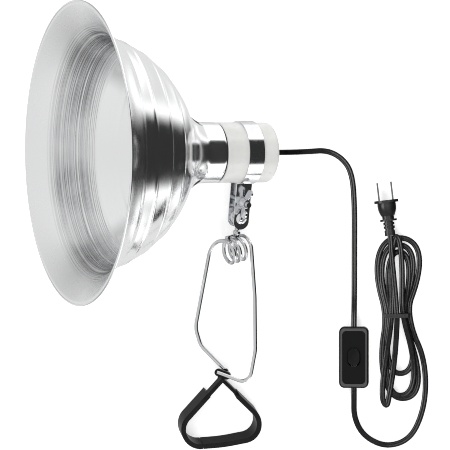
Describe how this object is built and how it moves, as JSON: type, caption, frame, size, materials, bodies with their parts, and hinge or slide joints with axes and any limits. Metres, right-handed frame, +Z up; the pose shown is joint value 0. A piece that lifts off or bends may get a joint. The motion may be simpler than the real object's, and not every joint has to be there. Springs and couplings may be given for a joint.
{
  "type": "heat lamp fixture",
  "caption": "Clamp heat lamp: flared spun aluminium reflector on a porcelain bulb socket, with a strap bracket, ball swivel, sprung wire clamp and a mains cord with inline switch and plug.",
  "frame": {"origin": "on the bench below the middle of the box of the lamp and its clamp, without the cord", "axes": "+Z up; +Y from the clamp jaws towards the reflector; the reflector mouth faces -X and up, its axis tilted 30 degrees; +X towards the cord and the plug"},
  "size_m": [0.3731, 0.4099, 0.233],
  "materials": {
    "spun_aluminium": "spun bright aluminium with fine circular grooves",
    "porcelain": "white glazed porcelain",
    "steel": "zinc plated sheet steel",
    "cast_zinc": "bright plated die casting",
    "wire_steel": "plated spring wire",
    "jaw_steel": "black coated strip steel",
    "jaw_rubber": "black vinyl sleeve with a soft sheen",
    "shell_aluminium": "rolled thread shell",
    "fibre": "grey vulcanised fibre",
    "brass": "bright brass",
    "copper_lead": "black insulated lead",
    "cord_black": "black flat twin cord, soft vinyl",
    "switch_black": "black moulded plastic, fine texture",
    "switch_button": "black moulded rocker, smooth",
    "tie_black": "black plastic coated wire tie",
    "plug_black": "black moulded plug, semi gloss",
    "blade_nickel": "nickel plated brass"
  },
  "bodies": {
    "lamp": {"reflector_shell": "spun_aluminium", "collar_gasket": "fibre", "shade_ring": "steel", "socket_body": "porcelain", "socket_cap": "porcelain", "screw_shell": "shell_aluminium", "contact_insulator": "fibre", "centre_contact": "brass", "shell_rivets": "brass", "terminal_plates": "brass", "terminal_screws": "brass", "cap_screws": "steel", "cord_bushing": "cord_black", "socket_leads": "copper_lead", "cord_lamp_to_switch": "cord_black", "switch_base": "switch_black", "switch_cover": "switch_black", "switch_contacts": "brass", "switch_screws": "steel", "cord_switch_to_hank": "cord_black", "cord_hank": "cord_black", "twist_tie": "tie_black", "plug_body": "plug_black", "plug_blades": "blade_nickel"},
    "bracket": {"strap_bracket": "steel", "clamp_bolt": "steel"},
    "washer": {"washer": "steel"},
    "wing_nut": {"wing_nut": "cast_zinc"},
    "ball": {"swivel_ball": "steel"},
    "clamp_base": {"swivel_stud": "steel", "coil_spring": "wire_steel"},
    "left_arm": {"left_arm": "wire_steel", "right_jaw_strip": "jaw_steel", "right_jaw_sleeve": "jaw_rubber"},
    "right_arm": {"right_arm": "wire_steel", "left_jaw_strip": "jaw_steel", "left_jaw_sleeve": "jaw_rubber"},
    "rocker": {"switch_rocker": "switch_button"}
  },
  "joints": [
    {"name": "bracket_turn", "type": "hinge", "parent": "lamp", "child": "bracket", "pos_m": [0.08864, 0.07035, 0.03443], "axis": [0.866, 0, -0.5], "continuous": true},
    {"name": "washer_slide", "type": "slide", "parent": "bracket", "child": "washer", "axis": [0.4841, -0.2504, 0.8384], "range_m": [0, 0.00286]},
    {"name": "nut_spin", "type": "hinge", "parent": "washer", "child": "wing_nut", "pos_m": [0.08301, 0.02678, 0.02467], "axis": [0.4841, -0.2504, 0.8384], "range_deg": [0, 810]},
    {"name": "ball_swing", "type": "hinge", "parent": "bracket", "child": "ball", "pos_m": [0.08107, 0.01178, 0.02131], "axis": [0.4841, -0.2504, 0.8384], "range_deg": [-40, 60]},
    {"name": "ball_twist", "type": "hinge", "parent": "ball", "child": "clamp_base", "pos_m": [0.08107, 0.01178, 0.02131], "axis": [-0.1477, -0.9782, -0.1458], "range_deg": [-90, 90]},
    {"name": "left_arm_squeeze", "type": "hinge", "parent": "clamp_base", "child": "left_arm", "pos_m": [0.0765, -0.0185, 0.0168], "axis": [0, 0, 1], "range_deg": [0, 12], "stiffness_Nm_per_rad": 4, "springref_deg": -20.05, "deforming": ["coil_spring"]},
    {"name": "right_arm_squeeze", "type": "hinge", "parent": "clamp_base", "child": "right_arm", "pos_m": [0.0765, -0.0185, 0.0168], "axis": [0, 0, 1], "range_deg": [-12, 0]},
    {"name": "switch_rock", "type": "hinge", "parent": "lamp", "child": "rocker", "pos_m": [0.184, -0.1202, 0.0092], "axis": [0.9997, -0.0227, 0], "range_deg": [0, 12]}
  ],
  "couplings": [
    {"joint": "nut_spin", "follows": "washer_slide", "rad_per_m": 4947.4},
    {"joint": "right_arm_squeeze", "follows": "left_arm_squeeze", "ratio": -1}
  ]
}
